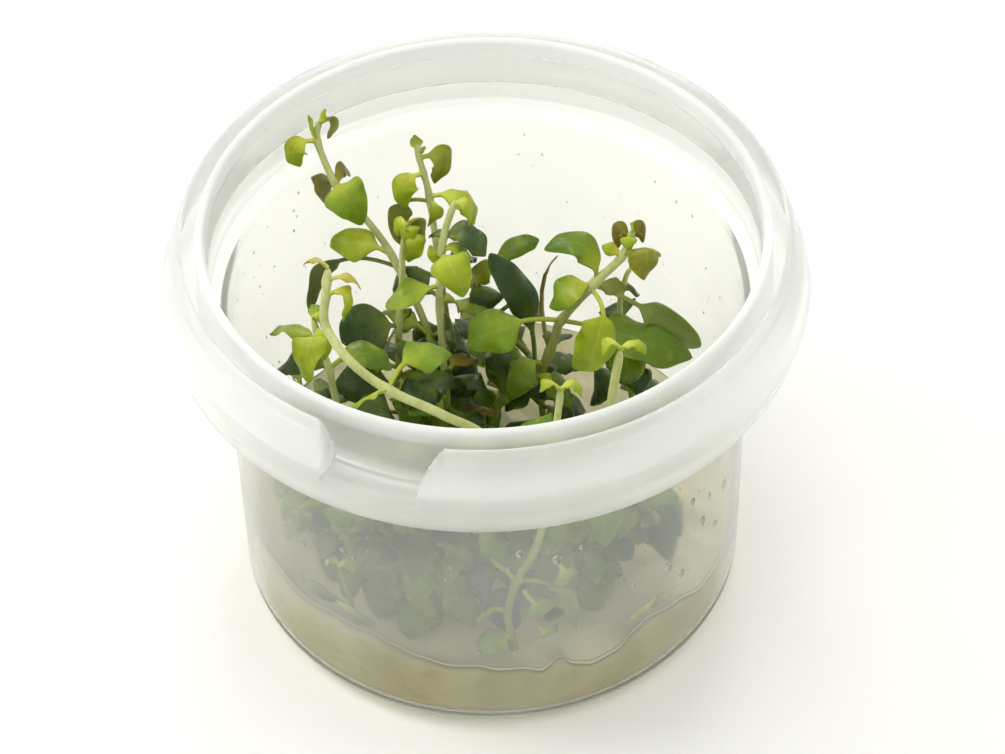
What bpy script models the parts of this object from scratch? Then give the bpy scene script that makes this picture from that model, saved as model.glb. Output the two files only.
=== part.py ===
# Young ludwigia shoots standing in clear gel in an open culture cup. Sizes in metres, +Z up, base at z = 0.
import math

import bmesh
import bpy
from mathutils import Matrix, Vector

MM = 0.001

# The cup
CUP_TOP = 72.0
COLLAR_TOP = 71.0
COLLAR_STEP = 68.8
OUTER_RADIUS = 50.0
FLANGE_HEIGHT = 60.6
SKIRT_BOTTOM = 55.9
LEDGE_HEIGHT = 58.8
BASE_RADIUS = 39.95
BODY_TOP_RADIUS = 40.9
BASE_CORNER = 5.0
LIP_RADIUS = 43.3
WALL = 1.0
CUP_SIDES = 36
NOTCH_LEFT_EDGE = ((-34.5, 72.5), (-29.5, 68.6), (-28.3, 65.4), (-30.5, 61.9))
NOTCH_RIGHT_EDGE = ((-13.0, 61.9), (-11.5, 66.0), (-8.7, 70.0), (-6.0, 72.5))

# The gel
GEL_DEPTH = 13.0
GEL_GAP = 0.35
GEL_SIDES = 24
MENISCUS = 2.4

# The plant
GAP = 0.35
STEM_SIDES = 5
STALK_HALF_WIDTH = 0.4
STALK_THICKNESS = 0.75
BLADE_THICKNESS = 0.5
WIDE_LEAF = 5.0

# Each shoot: its stem's thickness, and the points that the stem passes through, in millimetres.
# The first point is in the gel, and leaves grow from the others, which are counted from 0.
SHOOTS = {
    "left_shoot": (1.2, [(-6, 4, 7), (-6.5, 5, 14), (-8.7, 10, 36), (-14.4, 18, 47.6), (-18.7, 21, 54),
                         (-23.2, 24, 58.6), (-26, 28, 64.6), (-25.6, 30, 67)]),
    "back_shoot": (1.1, [(-4, 13, 7), (-4.5, 13.5, 14), (-7, 19, 40), (-8.5, 24, 54.7), (-9.4, 26, 58.9),
                         (-10, 27, 61.3), (-10.3, 28, 64)]),
    "middle_shoot": (1.2, [(-6, -2, 7), (-6.2, -1, 14), (-6.8, 5, 29.5), (-7.3, 8, 46), (-7.2, 9, 51.2),
                           (-6.6, 12, 57.9), (-5.2, 14, 64.1)]),
    "yellow_shoot": (1.1, [(-14, 7, 7), (-14, 8, 14), (-14.2, 9, 36.9), (-13.3, 13, 46.6), (-12.9, 14, 53.6),
                           (-12, 15, 58.1)]),
    "short_shoot": (1.1, [(9, 11, 7), (9, 11.5, 14), (7.4, 14, 27.6), (2.6, 18, 31.5), (-1.7, 22, 37),
                          (-3.9, 24, 39.1)]),
    "right_shoot": (1.5, [(-3, 6, 7), (-2.5, 6.5, 14), (1.6, 8, 24.6), (7.3, 8, 29.4), (10.7, 9, 38),
                          (11.8, 9, 42.2), (16.9, 9, 50), (21.5, 9, 56), (23.2, 9, 61.5)]),
    "thin_shoot": (0.9, [(24, 12, 7), (24, 12, 14), (21.3, 11, 40.4), (22, 12, 47.6), (22.9, 11, 51.6)]),
    "leaning_shoot": (1.2, [(0, -16, 7), (0, -16.5, 14), (1, -20, 31), (0, -21, 46), (-7, -21, 52.4),
                            (-15, -19, 56), (-20.8, -15, 58.4), (-24.4, -10, 61.2), (-24.2, -8, 65.5),
                            (-23.7, -6, 69.4)]),
    "pale_shoot": (1.2, [(13, -25, 7), (13.3, -25, 14), (17.3, -24, 40), (18.8, -21, 55.5), (20.2, -18, 62.4)]),
    "front_shoot": (1.2, [(3.2, -33.5, 7), (2.9, -34, 14.5), (2.2, -34, 21.4), (3.6, -34, 28.7), (7.5, -33, 38.4),
                          (9.9, -30, 56.3), (11, -26.5, 63.5)]),
    "low_shoot": (1.1, [(-20, -8, 7), (-20.3, -8, 14), (-22.5, -8, 30.4), (-24.5, -7, 48.6), (-25.6, -6, 52.4),
                        (-26.6, -4, 57)]),
    "seedling": (0.8, [(-21, -28.5, 7), (-21.3, -29, 14), (-22.5, -28.5, 21), (-23.6, -28, 27)]),
}

# Each leaf: name, place along its stem, where its middle and its tip lie from there, width, how far its sides
# rise from the midrib, its roll about the midrib in degrees, the share of it that is stalk, and its colour.
LEAVES = {
    "left_shoot": [
        ("curled", 7.0, (2.5, 0.2, 0.6), (2.7, -1, -2.6), 2.8, 0.2, 15, 0.2, "olive"),
        ("hanging", 6.0, (-3.2, -2.2, 0.6), (-3.4, -3, -3.4), 4.2, 0.1, -35, 0.25, "young"),
        ("front", 5.0, (2.6, -3.6, 0.5), (4.4, -5, -4.6), 6.6, -0.15, 0, 0.1, "green"),
        ("brown", 5.1, (-2, 2.6, -2), (-1.1, 1.4, -6.2), 3.8, -0.1, 45, 0.15, "brown"),
        ("light", 3.1, (-5.1, 0.5, 2.6), (-10, 0.5, 1.8), 5.6, 0.15, -35, 0.2, "young"),
        ("strap", 2.9, (-9.8, 2, -1.6), (-14.4, 0, -10), 3.8, -0.2, 45, 0.45, "dark"),
    ],
    "back_shoot": [
        ("right", 5.0, (3.6, 0.6, -1.2), (3.6, 0, -6.2), 3.8, -0.2, 65, 0.2, "olive"),
        ("left", 4.0, (-2.8, -1.9, -0.3), (-3.2, -3, -5), 4, 0.1, -40, 0.2, "young"),
        ("dark", 3.0, (-4.8, 1, -1.8), (-4.8, 1, -10), 3.7, 0.1, 65, 0.35, "olive"),
        ("arching", 3.1, (5.4, -1, 0.3), (7.6, -2, -4.6), 4.4, 0.2, 10, 0.15, "young"),
    ],
    "middle_shoot": [
        ("blue", 5.0, (3.6, 0, 0.6), (7, -2, -1.8), 5.6, -0.15, 30, 0.1, "dark"),
        ("upper", 4.7, (2.9, 0, 1.2), (5.4, -0.6, -1.6), 4, 0.1, 0, 0.1, "green"),
        ("bright", 4.2, (1.8, -4, 4.4), (3.6, -7, 0.8), 7.6, -0.1, 0, 0.15, "young"),
        ("cupped", 4.0, (-4.4, -2, 1), (-8.6, -3, -0.9), 5.4, -0.5, 0, 0.15, "green"),
        ("slim", 3.0, (1.8, 0, -2.8), (2.4, -1, -8.4), 3, 0.1, 0, 0.1, "dark"),
        ("low", 2.0, (-2.8, -3.4, 3.4), (-6, -6.4, 3), 5.2, 0.1, 0, 0.15, "green"),
    ],
    "yellow_shoot": [
        ("round", 4.7, (1.2, -2, -0.9), (0.6, -2.2, -4.8), 3, -0.3, 0, 0.1, "young"),
        ("broad", 2.3, (-4.4, -1.4, 0.8), (-9.4, -2.4, -1.4), 8.2, -0.1, -30, 0.15, "dark"),
        ("under", 1.6, (-4.6, -3, 5), (-10, -5, 7), 7.4, 0.1, -10, 0.15, "dark"),
    ],
    "short_shoot": [
        ("narrow", 4.0, (5, 2, 5.8), (10.3, 2, 9.7), 2.6, 0.1, 0, 0.35, "green"),
        ("fallen", 4.1, (2.2, -3.6, 1.6), (2.4, -6.2, -1), 6, -0.1, 0, 0.1, "dark"),
    ],
    "right_shoot": [
        ("cupped", 7.0, (3.3, -3, 3.8), (3.6, -6, 0), 6.2, 0.3, 0, 0.1, "olive"),
        ("folded", 7.0, (-4.6, -0.4, 0.8), (-12, 1.6, 3.2), 5.6, 0.2, -45, 0.15, "green"),
        ("side", 6.0, (-4, -1, -0.2), (-7.5, -1.2, -3.4), 5.4, 0.1, 0, 0.1, "green"),
        ("hanging", 5.9, (0.4, -6.4, -1.6), (-1, -13, -8.2), 7.6, -0.1, 0, 0.4, "young"),
        ("far", 6.0, (8.2, 0.4, -5), (16.8, -1.6, -12.2), 5.8, 0.2, -20, 0.45, "green"),
        ("long", 5.0, (-7.6, -3, 2.6), (-15.5, -5, 0.2), 8.4, 0.1, -25, 0.42, "young"),
        ("broad", 5.0, (8.6, -3.4, 0.8), (21, -5.4, -2.4), 8.8, -0.1, -30, 0.35, "green"),
        ("tall", 3.0, (-0.8, 3.4, 13), (-6.9, 8, 22), 8, 0.2, -25, 0.4, "dark"),
        ("back", 2.2, (-1.4, 1.6, 5.4), (0, 5, 9), 7, 0.1, 0, 0.1, "dark"),
        ("low", 1.8, (-2, -2, 3.4), (-3.8, -4.6, 3.6), 4.4, 0.1, 0, 0.1, "brown"),
    ],
    "leaning_shoot": [
        ("drooping", 8.0, (3.3, -1, 1.3), (2.9, -2, -3.8), 3, -0.1, 0, 0.15, "young"),
        ("hidden", 5.0, (-2.8, -2.2, 1), (-6, -4.2, 0.6), 2.6, 0.1, 60, 0.3, "young"),
        ("right", 5.0, (3.8, 4, 3), (10, 7.6, 0.2), 6.8, 0.1, 0, 0.35, "young"),
        ("wall", 3.0, (-2.6, -6, 2), (-6, -10.6, -4), 6, -0.1, 0, 0.15, "green"),
        ("left_low", 2.0, (-5, -4.4, 2.6), (-11, -7.6, -2), 7, -0.1, 0, 0.15, "dark"),
        ("right_low", 2.0, (4, -2.8, 2.6), (8.6, -4.6, -1), 5.6, -0.1, 0, 0.15, "dark"),
    ],
    "pale_shoot": [
        ("front", 1.5, (0.6, -3.4, 1.8), (0.8, -7, -1.4), 3.6, -0.1, 0, 0.2, "green"),
        ("right", 1.8, (5, 2, 1.4), (10.4, 3.4, -5), 7, -0.1, 0, 0.15, "dark"),
    ],
    "front_shoot": [
        ("side", 3.0, (6, 0.3, -2), (9.6, -1.5, -9.6), 5, -0.1, -50, 0.4, "green"),
        ("bottom", 1.2, (-2.6, -1.5, 1.4), (-5.6, -2.6, -0.6), 4.8, 0.1, 0, 0.15, "green"),
    ],
    "low_shoot": [
        ("yellow", 4.0, (-1.8, -3, 2.8), (-1.8, -6, -1), 5.4, -0.1, 0, 0.1, "young"),
        ("left", 4.1, (-3.9, 2.4, 1.6), (-8.2, 3.6, -0.4), 4, 0.1, 0, 0.15, "green"),
        ("dark", 3.0, (-3.8, 2, 0.2), (-9, 3, -2.6), 5, 0, -35, 0.1, "dark"),
        ("right", 3.0, (4.6, 2.6, 0.8), (9.6, 3, -3.2), 6, 0, 40, 0.1, "green"),
        ("wall", 2.0, (-2.4, -6, 2), (-4.4, -14, -4), 6, -0.1, 0, 0.15, "dark"),
    ],
}

# Small leaves that have grown on with the stem, by the same measures.
GROWN_ON = {
    "left_shoot": [
        ("spike", 6.0, (-0.9, 0.2, 2.6), (-1.3, 0.6, 5), 1.4, 0.2, 0, 0.3, "young"),
        ("back", 5.0, (1, 2, 0.7), (2.2, 4, -2.6), 2.2, 0, 0, 0.1, "brown"),
    ],
    "back_shoot": [
        ("small", 3.0, (1, -2, -0.2), (-0.3, -3, -3), 2.6, -0.1, 0, 0.1, "young"),
    ],
    "middle_shoot": [
        ("left", 5.0, (-1.2, 1, 0.4), (-2.4, 2, -1.4), 2, 0, 0, 0.1, "dark"),
        ("narrow", 4.4, (-1, -0.8, 2.6), (-1.5, 0, 4.6), 1.6, 0.1, 0, 0.1, "young"),
        ("small", 3.1, (2, 1, 0.6), (3.2, 1.4, -3), 2.4, 0, 0, 0.2, "olive"),
    ],
    "yellow_shoot": [
        ("brown", 5.0, (1.5, 1, 0.1), (2.7, 1, -3.7), 2.6, 0.1, 0, 0.1, "brown"),
        ("left", 5.0, (-1, 0, 0.9), (-1.7, -1, 0), 1.9, 0.1, 0, 0.1, "young"),
    ],
    "short_shoot": [
        ("round", 4.2, (1.3, -1, 3.2), (3.2, -1, 5.8), 3.4, 0.1, 0, 0.1, "olive"),
    ],
    "right_shoot": [
        ("top_left", 7.5, (-1.7, 0.6, 2.4), (-2.6, -0.4, -0.4), 3.2, 0.1, 0, 0.1, "brown"),
        ("top_right", 7.6, (1.9, 0.6, 2.3), (3.2, 0, -0.2), 3, 0.1, 0, 0.1, "brown"),
        ("yellow", 7.6, (-0.3, -1.6, 2), (-0.6, -3.2, 1), 2.4, 0.1, 0, 0.1, "young"),
        ("small", 6.3, (2.2, 2, -0.9), (4.6, 3.4, -2.2), 2.5, 0.1, 0, 0.1, "olive"),
        ("curled", 3.1, (1.3, -2, 3), (2.2, -4, 1.6), 1.8, 0.1, 0, 0.1, "young"),
        ("thread", 3.7, (-1.1, 3, 10), (1.4, 4, 17.4), 1.5, 0.1, 0, 0.7, "brown"),
    ],
    "thin_shoot": [
        ("left", 2.5, (-1.1, 1, 0.6), (-2.2, 2, 0.6), 3, 0.1, 0, 0.1, "dark"),
        ("right", 2.5, (1.4, 1, 0.9), (2.8, 2, -2.4), 3.4, 0.1, 0, 0.1, "dark"),
    ],
    "leaning_shoot": [
        ("tip_left", 9.0, (-2, 1, 1), (-4, 1, 0), 2.4, 0, 0, 0.1, "red"),
        ("tip_right", 8.5, (3, 0, 1.2), (5.4, -1, -0.6), 2.4, 0, 0, 0.1, "red"),
    ],
    "pale_shoot": [
        ("tip_left", 4.0, (-2, 0, 1.8), (-3.3, -1, -0.9), 2.6, 0, 0, 0.1, "young"),
        ("tip_right", 4.0, (2.2, 0, 1.4), (4.1, -1, 0), 3, 0, 0, 0.1, "young"),
    ],
    "front_shoot": [
        ("tip_left", 5.9, (-1.8, 0, 2), (-3.4, -1, 1), 2.4, 0, 0, 0.1, "young"),
        ("tip_right", 5.9, (1.9, 0.2, 1.6), (3.5, -0.8, -0.6), 2.6, 0, 0, 0.1, "young"),
        ("left", 2.0, (-2.2, 0.2, 0.9), (-5, -0.6, -0.8), 1.6, 0, 0, 0.5, "young"),
        ("upper_left", 3.0, (-1.6, 0.5, 2.2), (-3.7, 1, 4.4), 1.5, 0, 0, 0.5, "young"),
    ],
    "low_shoot": [
        ("top", 5.0, (1.1, -0.5, 1), (1.8, -1, -1.6), 2, 0, 0, 0.1, "young"),
    ],
    "seedling": [
        ("right", 3.0, (1.6, -0.5, 1.1), (3.1, -1, -0.5), 2.5, 0, 0, 0.1, "young"),
        ("left", 3.0, (-1.3, 0.3, 1.1), (-2.7, 0.5, -0.6), 2.2, 0, 0, 0.1, "young"),
    ],
}

LEAF_COLOURS = {
    "young": (0.46, 0.56, 0.05),
    "green": (0.20, 0.34, 0.04),
    "dark": (0.04, 0.10, 0.03),
    "olive": (0.26, 0.28, 0.05),
    "brown": (0.20, 0.13, 0.04),
    "red": (0.45, 0.25, 0.08),
}


def make_material(name, colour, roughness, transmission=0.0):
    material = bpy.data.materials.new(name)
    material.use_nodes = True
    shader = material.node_tree.nodes["Principled BSDF"]
    shader.inputs["Base Color"].default_value = (*colour, 1.0)
    shader.inputs["Roughness"].default_value = roughness
    shader.inputs["Transmission Weight"].default_value = transmission
    return material


# A mesh object from points in millimetres and faces, its faces split into triangles that point out.
def make_object(name, points, faces, material, smooth=True):
    shape = bmesh.new()
    corners = [shape.verts.new(Vector(point) * MM) for point in points]
    for face in faces:
        shape.faces.new([corners[i] for i in face])
    bmesh.ops.triangulate(shape, faces=shape.faces)
    bmesh.ops.recalc_face_normals(shape, faces=shape.faces)
    mesh = bpy.data.meshes.new(name)
    shape.to_mesh(mesh)
    shape.free()
    if smooth:
        mesh.shade_smooth()
        mesh.set_sharp_from_angle(angle=math.radians(40))
    mesh.materials.append(material)
    item = bpy.data.objects.new(name, mesh)
    bpy.context.scene.collection.objects.link(item)
    return item


# Faces between rings of equal size that follow each other, closed at both ends.
def ring_faces(rings, sides):
    faces = []
    for r in range(rings - 1):
        for s in range(sides):
            a = r * sides + s
            b = r * sides + (s + 1) % sides
            faces.append((a, b, b + sides, a + sides))
    faces.append(tuple(reversed(range(sides))))
    faces.append(tuple(range((rings - 1) * sides, rings * sides)))
    return faces


# A solid turned from an open profile of radius and height that starts and ends on the axis.
def turned(name, profile, sides, material, lift=None):
    points = [(0.0, 0.0, profile[0][1])]
    rings = profile[1:-1]
    for radius, height in rings:
        for s in range(sides):
            angle = 2 * math.pi * s / sides
            x = radius * math.cos(angle)
            y = radius * math.sin(angle)
            raised = lift(x, y, radius, height) if lift else 0.0
            points.append((x, y, height + raised))
    points.append((0.0, 0.0, profile[-1][1]))
    faces = []
    for s in range(sides):
        faces.append((0, 1 + s, 1 + (s + 1) % sides))
    for r in range(len(rings) - 1):
        for s in range(sides):
            a = 1 + r * sides + s
            b = 1 + r * sides + (s + 1) % sides
            faces.append((a, b, b + sides, a + sides))
    last = len(points) - 1
    start = 1 + (len(rings) - 1) * sides
    for s in range(sides):
        faces.append((last, start + s, start + (s + 1) % sides))
    return make_object(name, points, faces, material)


def arc(centre_radius, centre_height, radius, first, last, steps):
    points = []
    for i in range(steps + 1):
        angle = math.radians(first + (last - first) * i / steps)
        points.append((centre_radius + radius * math.cos(angle), centre_height + radius * math.sin(angle)))
    return points


def boolean(item, other, operation):
    modifier = item.modifiers.new(operation.lower(), "BOOLEAN")
    modifier.object = other
    modifier.operation = operation
    modifier.solver = "EXACT"
    other.hide_render = True
    other.display_type = "WIRE"


# The cup's wall seen in section, from the middle of its underside round the outside, over the lip and back inside.
def cup_profile():
    collar_inner = OUTER_RADIUS - WALL - 0.6
    profile = [(0, 0.5), (23.4, 0.5), (24, 0)]
    profile += arc(BASE_RADIUS - BASE_CORNER, BASE_CORNER, BASE_CORNER, -90, 0, 3)
    profile += [(BODY_TOP_RADIUS, 57.2), (LIP_RADIUS, 57.8), (LIP_RADIUS, 59.5)]
    profile += [(OUTER_RADIUS - 1.4, 59.5), (OUTER_RADIUS - 2.1, SKIRT_BOTTOM), (OUTER_RADIUS - 1.2, SKIRT_BOTTOM)]
    profile += [(OUTER_RADIUS, FLANGE_HEIGHT), (47.6, COLLAR_STEP), (47.1, COLLAR_STEP + 0.3)]
    profile += [(46.9, COLLAR_TOP), (46.1, COLLAR_TOP), (collar_inner, 61.6), (44.2, 62.0)]
    profile += [(LIP_RADIUS + 0.7, 71.3), (LIP_RADIUS, CUP_TOP), (LIP_RADIUS - 0.7, 71.3)]
    profile += [(LIP_RADIUS - 1.0, LEDGE_HEIGHT), (BODY_TOP_RADIUS - WALL + 0.1, LEDGE_HEIGHT - 0.3)]
    inner = BASE_RADIUS - WALL
    profile += arc(inner - 4, WALL + 4.2, 4, 0, -90, 2)
    profile += [(0, WALL + 0.2)]
    return profile


# The block that leaves the gap in the collar: its two ends follow the torn edges.
def collar_gap():
    outline = list(NOTCH_LEFT_EDGE) + list(NOTCH_RIGHT_EDGE)
    points = []
    for radius in (45.2, 53.0):
        for angle, height in outline:
            turn = math.radians(angle)
            points.append((radius * math.sin(turn), -radius * math.cos(turn), height))
    count = len(outline)
    return make_object("collar_gap", points, ring_faces(2, count), make_material("gap", (0.5, 0.5, 0.5), 0.5), False)


# The gel's top is a little wavy, and stands higher where it clings to the wall.
def gel_lift(x, y, radius, height):
    if height < GEL_DEPTH - 0.5:
        return 0.0
    wave = 0.5 * math.sin(x / 7.0 + 0.6) * math.cos(y / 6.0) + 0.3 * math.sin((x + y) / 4.0)
    turn = math.atan2(x, -y)
    edge = max(0.0, (radius - 30.0) / 8.6) ** 2
    front_left = math.exp(-((turn + 0.75) / 0.5) ** 2)
    front_right = math.exp(-((turn - 0.72) / 0.22) ** 2)
    return wave + edge * (0.6 + MENISCUS * front_left + 0.6 * MENISCUS * front_right)


def gel_profile():
    inner = BASE_RADIUS - WALL - GEL_GAP
    floor = WALL + 0.2 + GEL_GAP
    profile = [(0, floor)]
    profile += arc(inner - 4, floor + 4, 4, -90, 0, 2)
    profile += [(inner + 0.1, GEL_DEPTH)]
    profile += [(radius, GEL_DEPTH) for radius in (33.0, 22.0, 11.0)]
    profile += [(0, GEL_DEPTH + 0.2)]
    return profile


# A smooth path through hand-placed points, with a few points more between each two.
def smooth_path(points, steps):
    points = [Vector(point) for point in points]
    padded = [2 * points[0] - points[1]] + points + [2 * points[-1] - points[-2]]
    path = []
    for i in range(1, len(padded) - 2):
        a, b, c, d = padded[i - 1:i + 3]
        for k in range(steps):
            t = k / steps
            path.append(0.5 * (2 * b + (c - a) * t + (2 * a - 5 * b + 4 * c - d) * t * t
                               + (3 * b - a - 3 * c + d) * t ** 3))
    path.append(points[-1])
    return path


def tangents(path):
    result = []
    for i in range(len(path)):
        result.append((path[min(i + 1, len(path) - 1)] - path[max(i - 1, 0)]).normalized())
    return result


# A round rod along a path.
def rod(name, path, radii, sides, material):
    points = []
    side = Vector((1, 0, 0))
    for centre, radius, along in zip(path, radii, tangents(path)):
        side = (side - along * side.dot(along)).normalized()
        up = along.cross(side)
        for s in range(sides):
            angle = 2 * math.pi * s / sides
            points.append(centre + radius * (math.cos(angle) * side + math.sin(angle) * up))
    return make_object(name, points, ring_faces(len(path), sides), material)


# The point at a place along a stem, and the stem's direction there.
def place_on_stem(points, place):
    steps = 10
    path = smooth_path(points, steps)
    index = min(round(place * steps), len(path) - 1)
    return path[index], tangents(path)[index]


# Half the leaf's width at a share t of its length: a thin stalk, then a blade that is widest before its middle.
def half_width(t, width, stalk):
    if t <= stalk:
        return STALK_HALF_WIDTH
    u = (t - stalk) / (1 - stalk)
    return STALK_HALF_WIDTH * (1 - u) + 0.08 + (width / 2 - 0.2) * math.sin(math.pi * u ** 0.85) ** 0.85


# The share of a leaf's path after which its stalk stands clear of the stem that it grows from.
def start_share(elbow, stem_radius, stem_along):
    cosine = abs(elbow.normalized().dot(stem_along))
    sine = max(math.sqrt(1 - cosine * cosine), 0.4)
    distance = (stem_radius + GAP + STALK_HALF_WIDTH * cosine) / sine
    return distance / elbow.length / 2


# A leaf bends in one plane from its node through its middle to its tip, and its blade lies across that plane.
# Its section is a lens with quarter points on wide leaves, and only a midrib on small ones.
def make_leaf(name, start, row, grown_on, stem_radius=0.0, stem_along=None):
    _, _, middle, tip, width, cup, roll, stalk, colour = row
    middle = Vector(middle)
    tip = Vector(tip)
    elbow = 2 * middle - tip / 2
    across = elbow.cross(tip - elbow).normalized()
    if across.length < 0.5:
        across = Vector((0, 0, 1)).cross(tip).normalized()
    first = 0.0 if grown_on else start_share(elbow, stem_radius, stem_along)
    stalk = max(stalk, first + 0.06)
    spread = (-1, -0.5, 0, 0.5, 1) if width >= WIDE_LEAF and not grown_on else (-1, 0, 1)
    places = (0.35, 0.75, 1) if grown_on else (0.25, 0.55, 0.85, 1)
    stations = [first, stalk] + [stalk + (1 - stalk) * u for u in places]
    points = []
    for t in stations:
        centre = start + 2 * t * (1 - t) * elbow + t * t * tip
        along = (2 * (1 - 2 * t) * elbow + 2 * t * tip).normalized()
        turn = Matrix.Rotation(math.radians(roll), 3, along)
        side = turn @ across
        face = side.cross(along)
        half = half_width(t, width, stalk)
        thick = STALK_THICKNESS if t <= stalk else BLADE_THICKNESS * (1 - 0.5 * t)
        ring = []
        for q in spread:
            ring.append((q, 1 - q * q))
        for q in reversed(spread[1:-1]):
            ring.append((q, q * q - 1))
        for q, bulge in ring:
            points.append(centre + side * q * half + face * (cup * half * q * q + bulge * thick / 2))
    sides = 2 * len(spread) - 2
    return make_object(name, points, ring_faces(len(stations), sides), leaf_materials[colour])


# A stem thins a little from its foot to its tip.
def stem_radius(thickness, share):
    return thickness / 2 * (1.05 - 0.35 * share)


def make_shoot(shoot):
    thickness, points = SHOOTS[shoot]
    path = smooth_path(points, 2)
    radii = [stem_radius(thickness, i / (len(path) - 1)) for i in range(len(path))]
    stem = rod(shoot + "_stem", path, radii, STEM_SIDES, stem_material)
    for row in GROWN_ON.get(shoot, []):
        start, _ = place_on_stem(points, row[1])
        boolean(stem, make_leaf(shoot + "_" + row[0], start, row, True), "UNION")
    for row in LEAVES.get(shoot, []):
        start, along = place_on_stem(points, row[1])
        radius = stem_radius(thickness, row[1] / (len(points) - 1))
        make_leaf(shoot + "_" + row[0] + "_leaf", start, row, False, radius, along)


# A pocket in the gel for each stem's foot.
def make_pockets(gel):
    for shoot, (thickness, points) in SHOOTS.items():
        low, high = Vector(points[0]), Vector(points[1])
        along = (high - low) / (high - low).length
        path = [low - along * 0.5, high + along * 6]
        radius = thickness / 2 * 1.1 + GAP
        pocket = rod(shoot + "_pocket", path, (radius, radius), 8, stem_material)
        boolean(gel, pocket, "DIFFERENCE")


for item in list(bpy.data.objects):
    bpy.data.objects.remove(item, do_unlink=True)

cup_material = make_material("milky_plastic", (0.90, 0.92, 0.90), 0.25, 0.8)
gel_material = make_material("gel", (0.62, 0.58, 0.44), 0.08, 0.8)
stem_material = make_material("stem", (0.55, 0.62, 0.22), 0.4)
leaf_materials = {name: make_material(name + "_leaf", colour, 0.35) for name, colour in LEAF_COLOURS.items()}

cup = turned("cup", cup_profile(), CUP_SIDES, cup_material)
boolean(cup, collar_gap(), "DIFFERENCE")
gel = turned("gel", gel_profile(), GEL_SIDES, gel_material, gel_lift)
make_pockets(gel)
for shoot in SHOOTS:
    make_shoot(shoot)
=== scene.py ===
import math

import bpy
import numpy as np
from mathutils import Matrix


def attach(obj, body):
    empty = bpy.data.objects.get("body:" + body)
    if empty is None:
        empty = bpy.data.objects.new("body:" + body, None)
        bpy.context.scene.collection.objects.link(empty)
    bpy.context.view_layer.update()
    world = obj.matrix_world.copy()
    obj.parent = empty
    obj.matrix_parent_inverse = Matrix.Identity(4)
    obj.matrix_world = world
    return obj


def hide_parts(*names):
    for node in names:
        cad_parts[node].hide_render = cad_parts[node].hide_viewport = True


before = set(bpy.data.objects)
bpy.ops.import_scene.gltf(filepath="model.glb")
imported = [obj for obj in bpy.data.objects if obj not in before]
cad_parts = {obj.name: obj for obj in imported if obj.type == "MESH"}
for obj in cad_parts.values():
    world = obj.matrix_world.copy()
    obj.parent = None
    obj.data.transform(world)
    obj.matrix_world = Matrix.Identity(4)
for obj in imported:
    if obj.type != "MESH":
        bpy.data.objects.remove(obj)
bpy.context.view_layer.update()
mm = 0.001
chance = np.random.default_rng(7)  # every random draw below comes from here, in order


# small tools for meshes

# points in millimetres, faces as rows of corners
def newPiece(name, points, faces, material, uv=None, sharpAngle=None):
    mesh = bpy.data.meshes.new(name)
    mesh.from_pydata((np.asarray(points) * mm).tolist(), [], faces)
    if uv is not None:
        corners = np.empty(len(mesh.loops), np.int32)
        mesh.loops.foreach_get("vertex_index", corners)
        layer = mesh.uv_layers.new(name="surface")
        layer.data.foreach_set("uv", np.asarray(uv, np.float32)[corners].ravel())
    mesh.shade_smooth()
    if sharpAngle:
        mesh.set_sharp_from_angle(angle=math.radians(sharpAngle))
    mesh.materials.append(material)
    item = bpy.data.objects.new(name, mesh)
    bpy.context.scene.collection.objects.link(item)
    return item


def ringFaces(rows, columns, first=0):  # quads between closed rings that follow each other, and a cap on each end
    r = np.arange(rows - 1)[:, None] * columns
    c = np.arange(columns)[None, :]
    following = (c + 1) % columns
    quads = np.stack([r + c, r + following, r + columns + following, r + columns + c], axis=-1).reshape(-1, 4)
    faces = (quads + first).tolist()
    faces.append((first + np.arange(columns)[::-1]).tolist())
    faces.append((first + (rows - 1) * columns + np.arange(columns)).tolist())
    return faces


class Joined:  # collects closed surfaces that end up in one mesh
    def __init__(self):
        self.points, self.faces, self.uv, self.count = [], [], [], 0

    def add(self, rings, uv):  # rings is an array of rows, columns and x y z
        rows, columns = rings.shape[:2]
        self.faces += ringFaces(rows, columns, self.count)
        self.points.append(rings.reshape(-1, 3))
        self.uv.append(uv.reshape(-1, 2))
        self.count += rows * columns

    def piece(self, name, material, slot, *replaced):
        item = newPiece(name, np.concatenate(self.points), self.faces, material, np.concatenate(self.uv))
        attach(item, "root")
        if replaced:
            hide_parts(*replaced)
        return item


def unit(vectors):
    return vectors / np.maximum(np.linalg.norm(vectors, axis=-1, keepdims=True), 1e-9)


def smoothPath(points, steps):  # Catmull-Rom curve through the points, with some steps between each two
    p = np.asarray(points, float)
    p = np.vstack([2 * p[0] - p[1], p, 2 * p[-1] - p[-2]])
    t = (np.arange(steps) / steps)[None, :, None]
    a, b, c, d = p[:-3, None], p[1:-2, None], p[2:-1, None], p[3:, None]
    curve = 0.5 * (2 * b + (c - a) * t + (2 * a - 5 * b + 4 * c - d) * t ** 2 + (3 * b - a - 3 * c + d) * t ** 3)
    return np.vstack([curve.reshape(-1, 3), p[-2]])


def tube(path, radius, sides):  # circles across a path, each square to it
    along = unit(np.gradient(path, axis=0))
    across = unit(np.cross(along, np.array([0.25, 1.0, 0.0])))
    other = np.cross(along, across)
    angle = np.linspace(0, 2 * math.pi, sides, endpoint=False)
    ring = np.cos(angle)[None, :, None] * across[:, None] + np.sin(angle)[None, :, None] * other[:, None]
    rings = path[:, None] + ring * np.broadcast_to(radius, len(path))[:, None, None]
    share = np.linspace(0, 1, len(path))
    uv = np.stack(np.broadcast_arrays(share[:, None], (angle / (2 * math.pi))[None, :]), axis=-1)
    return rings, uv


# small tools for materials

def newMaterial(name, **values):
    material = bpy.data.materials.new(name)
    material.use_nodes = True
    tree = material.node_tree
    shader = tree.nodes["Principled BSDF"]
    for key, value in values.items():
        shader.inputs[key].default_value = value
    return material, tree, shader


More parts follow.
